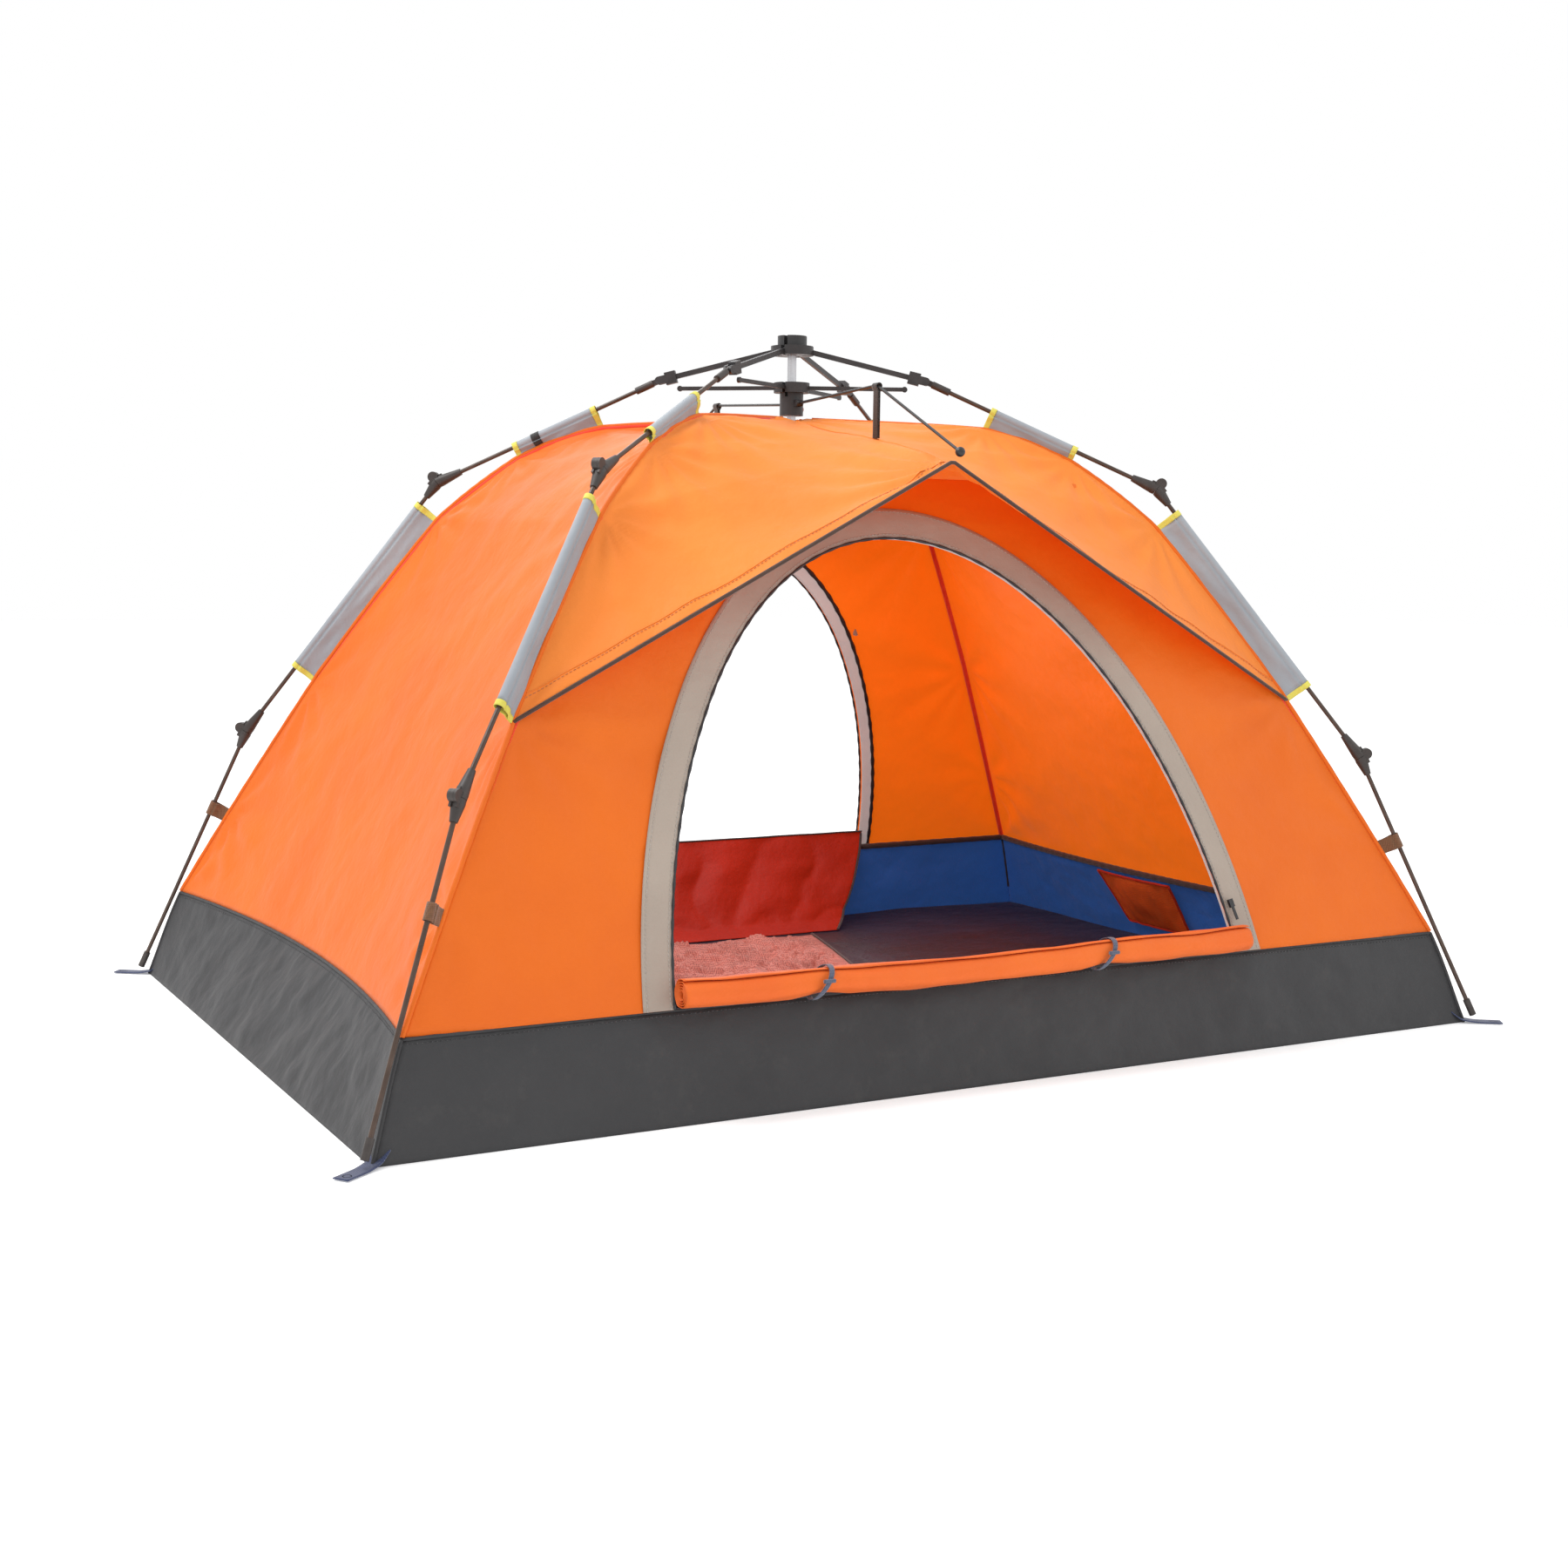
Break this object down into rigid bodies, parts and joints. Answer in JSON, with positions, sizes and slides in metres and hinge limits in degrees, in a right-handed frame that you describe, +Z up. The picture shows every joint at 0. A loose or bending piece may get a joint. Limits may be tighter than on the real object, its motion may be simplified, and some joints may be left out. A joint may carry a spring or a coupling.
{
  "type": "dome tent",
  "caption": "Pop-up dome tent on an umbrella hub and jointed corner legs, with a peaked eave over each arched door, a rolled front door and a dark base skirt.",
  "frame": {"origin": "centre of the floor, on the ground", "axes": "+Z up, -Y out of the front door, +X along the wide side of the floor"},
  "size_m": [2.1246, 1.4978, 1.199],
  "materials": {
    "floor_blue": "woven",
    "skirt_grey": "woven",
    "shell_orange": "woven",
    "tape_grey": "woven",
    "webbing_grey_blue": "woven",
    "mesh_pink": "woven",
    "sleeve_grey": "woven",
    "hem_yellow": "woven",
    "webbing_brown": "woven",
    "webbing_navy": "woven",
    "steel": "brushed",
    "hub_plastic": "moulded",
    "elbow_plastic": "moulded",
    "pole_fibre": "moulded",
    "webbing_black": "woven",
    "button_red": "moulded",
    "rod_black": "moulded",
    "zip_metal": "moulded"
  },
  "bodies": {
    "root": {"groundsheet": "floor_blue", "base_skirt": "skirt_grey", "left_panel": "shell_orange", "right_panel": "shell_orange", "front_roof_panel": "shell_orange", "back_roof_panel": "shell_orange", "front_wall": "shell_orange", "back_wall": "shell_orange", "door_tapes": "tape_grey", "front_door_roll": "shell_orange", "toggle_ties": "webbing_grey_blue", "back_door_panel": "shell_orange", "back_mesh_panel": "mesh_pink", "mesh_pocket": "mesh_pink", "pole_sleeves": "sleeve_grey", "sleeve_hems": "hem_yellow", "pole_tabs": "webbing_brown", "corner_straps": "webbing_navy", "peg_eyelets": "steel", "webbing_loops": "webbing_black"},
    "hub": {"lower_housing": "hub_plastic"},
    "crown": {"crown": "hub_plastic", "hub_shaft": "steel"},
    "button": {"release_button": "button_red"},
    "front_zip": {"front_zip_slider": "zip_metal"},
    "back_zip": {"back_zip_slider": "zip_metal"},
    "eave_front": {"front_eave_rod": "rod_black"},
    "eave_back": {"back_eave_rod": "rod_black"},
    "arm_front_left": {"hub_arm_front_left": "hub_plastic"},
    "strut_front_left": {"strut_front_left": "hub_plastic"},
    "upper_front_left": {"upper_pole_front_left": "pole_fibre", "upper_pole_fittings_front_left": "elbow_plastic"},
    "middle_front_left": {"middle_pole_front_left": "pole_fibre", "middle_pole_fittings_front_left": "elbow_plastic"},
    "lower_front_left": {"lower_pole_front_left": "pole_fibre", "lower_pole_fittings_front_left": "elbow_plastic"},
    "arm_front_right": {"hub_arm_front_right": "hub_plastic"},
    "strut_front_right": {"strut_front_right": "hub_plastic"},
    "upper_front_right": {"upper_pole_front_right": "pole_fibre", "upper_pole_fittings_front_right": "elbow_plastic"},
    "middle_front_right": {"middle_pole_front_right": "pole_fibre", "middle_pole_fittings_front_right": "elbow_plastic"},
    "lower_front_right": {"lower_pole_front_right": "pole_fibre", "lower_pole_fittings_front_right": "elbow_plastic"},
    "arm_back_left": {"hub_arm_back_left": "hub_plastic"},
    "strut_back_left": {"strut_back_left": "hub_plastic"},
    "upper_back_left": {"upper_pole_back_left": "pole_fibre", "upper_pole_fittings_back_left": "elbow_plastic"},
    "middle_back_left": {"middle_pole_back_left": "pole_fibre", "middle_pole_fittings_back_left": "elbow_plastic"},
    "lower_back_left": {"lower_pole_back_left": "pole_fibre", "lower_pole_fittings_back_left": "elbow_plastic"},
    "arm_back_right": {"hub_arm_back_right": "hub_plastic"},
    "strut_back_right": {"strut_back_right": "hub_plastic"},
    "upper_back_right": {"upper_pole_back_right": "pole_fibre", "upper_pole_fittings_back_right": "elbow_plastic"},
    "middle_back_right": {"middle_pole_back_right": "pole_fibre", "middle_pole_fittings_back_right": "elbow_plastic"},
    "lower_back_right": {"lower_pole_back_right": "pole_fibre", "lower_pole_fittings_back_right": "elbow_plastic"}
  },
  "joints": [
    {"name": "hub_drop", "type": "slide", "parent": "root", "child": "hub", "axis": [0, 0, -1], "range_m": [0, 0.98], "deforming": ["groundsheet", "base_skirt", "left_panel", "right_panel", "front_roof_panel", "back_roof_panel", "front_wall", "back_wall", "door_tapes", "front_door_roll", "toggle_ties", "back_door_panel", "mesh_pocket", "pole_sleeves", "sleeve_hems", "pole_tabs", "webbing_loops"]},
    {"name": "crown_rise", "type": "slide", "parent": "hub", "child": "crown", "axis": [0, 0, 1], "range_m": [0, 0.06003]},
    {"name": "arm_fold_front_left", "type": "hinge", "parent": "crown", "child": "arm_front_left", "pos_m": [-0.02458, -0.0172, 1.172], "axis": [0.5735, -0.8192, 0], "range_deg": [0, 4]},
    {"name": "strut_fold_front_left", "type": "hinge", "parent": "hub", "child": "strut_front_left", "pos_m": [-0.01966, -0.01376, 1.108], "axis": [0.5735, -0.8192, 0], "range_deg": [-13.21, 0]},
    {"name": "upper_fold_front_left", "type": "hinge", "parent": "arm_front_left", "child": "upper_front_left", "pos_m": [-0.19662, -0.13763, 1.12], "axis": [0.5735, -0.8192, 0], "range_deg": [-19.79, 0]},
    {"name": "knee_fold_front_left", "type": "hinge", "parent": "upper_front_left", "child": "middle_front_left", "pos_m": [-0.53871, -0.3771, 0.94474], "axis": [0.5735, -0.8192, 0], "range_deg": [-27.21, 0]},
    {"name": "foot_fold_front_left", "type": "hinge", "parent": "middle_front_left", "child": "lower_front_left", "pos_m": [-0.84401, -0.59081, 0.47639], "axis": [0.5735, -0.8192, 0], "range_deg": [-185.09, 0]},
    {"name": "arm_fold_front_right", "type": "hinge", "parent": "crown", "child": "arm_front_right", "pos_m": [0.02458, -0.0172, 1.172], "axis": [0.5735, 0.8192, 0], "range_deg": [0, 4]},
    {"name": "strut_fold_front_right", "type": "hinge", "parent": "hub", "child": "strut_front_right", "pos_m": [0.01966, -0.01376, 1.108], "axis": [0.5735, 0.8192, 0], "range_deg": [-13.21, 0]},
    {"name": "upper_fold_front_right", "type": "hinge", "parent": "arm_front_right", "child": "upper_front_right", "pos_m": [0.19662, -0.13763, 1.12], "axis": [0.5735, 0.8192, 0], "range_deg": [-19.79, 0]},
    {"name": "knee_fold_front_right", "type": "hinge", "parent": "upper_front_right", "child": "middle_front_right", "pos_m": [0.53871, -0.3771, 0.94474], "axis": [0.5735, 0.8192, 0], "range_deg": [-27.21, 0]},
    {"name": "foot_fold_front_right", "type": "hinge", "parent": "middle_front_right", "child": "lower_front_right", "pos_m": [0.84401, -0.59081, 0.47639], "axis": [0.5735, 0.8192, 0], "range_deg": [-185.09, 0]},
    {"name": "arm_fold_back_left", "type": "hinge", "parent": "crown", "child": "arm_back_left", "pos_m": [-0.02458, 0.0172, 1.172], "axis": [-0.5735, -0.8192, 0], "range_deg": [0, 4]},
    {"name": "strut_fold_back_left", "type": "hinge", "parent": "hub", "child": "strut_back_left", "pos_m": [-0.01966, 0.01376, 1.108], "axis": [-0.5735, -0.8192, 0], "range_deg": [-13.21, 0]},
    {"name": "upper_fold_back_left", "type": "hinge", "parent": "arm_back_left", "child": "upper_back_left", "pos_m": [-0.19662, 0.13763, 1.12], "axis": [-0.5735, -0.8192, 0], "range_deg": [-19.79, 0]},
    {"name": "knee_fold_back_left", "type": "hinge", "parent": "upper_back_left", "child": "middle_back_left", "pos_m": [-0.53871, 0.3771, 0.94474], "axis": [-0.5735, -0.8192, 0], "range_deg": [-27.21, 0]},
    {"name": "foot_fold_back_left", "type": "hinge", "parent": "middle_back_left", "child": "lower_back_left", "pos_m": [-0.84401, 0.59081, 0.47639], "axis": [-0.5735, -0.8192, 0], "range_deg": [-185.09, 0]},
    {"name": "arm_fold_back_right", "type": "hinge", "parent": "crown", "child": "arm_back_right", "pos_m": [0.02458, 0.0172, 1.172], "axis": [-0.5735, 0.8192, 0], "range_deg": [0, 4]},
    {"name": "strut_fold_back_right", "type": "hinge", "parent": "hub", "child": "strut_back_right", "pos_m": [0.01966, 0.01376, 1.108], "axis": [-0.5735, 0.8192, 0], "range_deg": [-13.21, 0]},
    {"name": "upper_fold_back_right", "type": "hinge", "parent": "arm_back_right", "child": "upper_back_right", "pos_m": [0.19662, 0.13763, 1.12], "axis": [-0.5735, 0.8192, 0], "range_deg": [-19.79, 0]},
    {"name": "knee_fold_back_right", "type": "hinge", "parent": "upper_back_right", "child": "middle_back_right", "pos_m": [0.53871, 0.3771, 0.94474], "axis": [-0.5735, 0.8192, 0], "range_deg": [-27.21, 0]},
    {"name": "foot_fold_back_right", "type": "hinge", "parent": "middle_back_right", "child": "lower_back_right", "pos_m": [0.84401, 0.59081, 0.47639], "axis": [-0.5735, 0.8192, 0], "range_deg": [-185.09, 0]},
    {"name": "eave_fold_front", "type": "hinge", "parent": "hub", "child": "eave_front", "pos_m": [0, -0.0275, 1.08], "axis": [1, 0, 0], "range_deg": [-9.01, 0]},
    {"name": "eave_fold_back", "type": "hinge", "parent": "hub", "child": "eave_back", "pos_m": [0, 0.0275, 1.08], "axis": [-1, 0, 0], "range_deg": [-9.01, 0]},
    {"name": "release_press", "type": "slide", "parent": "hub", "child": "button", "axis": [-1, 0, 0], "range_m": [0, 0.0025], "stiffness_N_per_m": 300},
    {"name": "front_zip", "type": "slide", "parent": "root", "child": "front_zip", "axis": [-0.2092, 0.3435, 0.9156], "range_m": [0, 0.1529]},
    {"name": "back_zip", "type": "slide", "parent": "root", "child": "back_zip", "axis": [-0.2092, -0.3435, 0.9156], "range_m": [0, 0.1529]}
  ],
  "couplings": [
    {"joint": "crown_rise", "follows": "hub_drop", "ratio": 0.061225},
    {"joint": "arm_fold_front_left", "follows": "hub_drop", "rad_per_m": 0.071238},
    {"joint": "strut_fold_front_left", "follows": "hub_drop", "rad_per_m": -0.23509},
    {"joint": "upper_fold_front_left", "follows": "hub_drop", "rad_per_m": -0.35227},
    {"joint": "knee_fold_front_left", "follows": "hub_drop", "rad_per_m": -0.48442},
    {"joint": "foot_fold_front_left", "follows": "hub_drop", "rad_per_m": -3.2948},
    {"joint": "arm_fold_front_right", "follows": "hub_drop", "rad_per_m": 0.071238},
    {"joint": "strut_fold_front_right", "follows": "hub_drop", "rad_per_m": -0.23509},
    {"joint": "upper_fold_front_right", "follows": "hub_drop", "rad_per_m": -0.35227},
    {"joint": "knee_fold_front_right", "follows": "hub_drop", "rad_per_m": -0.48442},
    {"joint": "foot_fold_front_right", "follows": "hub_drop", "rad_per_m": -3.2948},
    {"joint": "arm_fold_back_left", "follows": "hub_drop", "rad_per_m": 0.071238},
    {"joint": "strut_fold_back_left", "follows": "hub_drop", "rad_per_m": -0.23509},
    {"joint": "upper_fold_back_left", "follows": "hub_drop", "rad_per_m": -0.35227},
    {"joint": "knee_fold_back_left", "follows": "hub_drop", "rad_per_m": -0.48442},
    {"joint": "foot_fold_back_left", "follows": "hub_drop", "rad_per_m": -3.2948},
    {"joint": "arm_fold_back_right", "follows": "hub_drop", "rad_per_m": 0.071238},
    {"joint": "strut_fold_back_right", "follows": "hub_drop", "rad_per_m": -0.23509},
    {"joint": "upper_fold_back_right", "follows": "hub_drop", "rad_per_m": -0.35227},
    {"joint": "knee_fold_back_right", "follows": "hub_drop", "rad_per_m": -0.48442},
    {"joint": "foot_fold_back_right", "follows": "hub_drop", "rad_per_m": -3.2948},
    {"joint": "eave_fold_front", "follows": "hub_drop", "rad_per_m": -0.16029},
    {"joint": "eave_fold_back", "follows": "hub_drop", "rad_per_m": -0.16029}
  ]
}
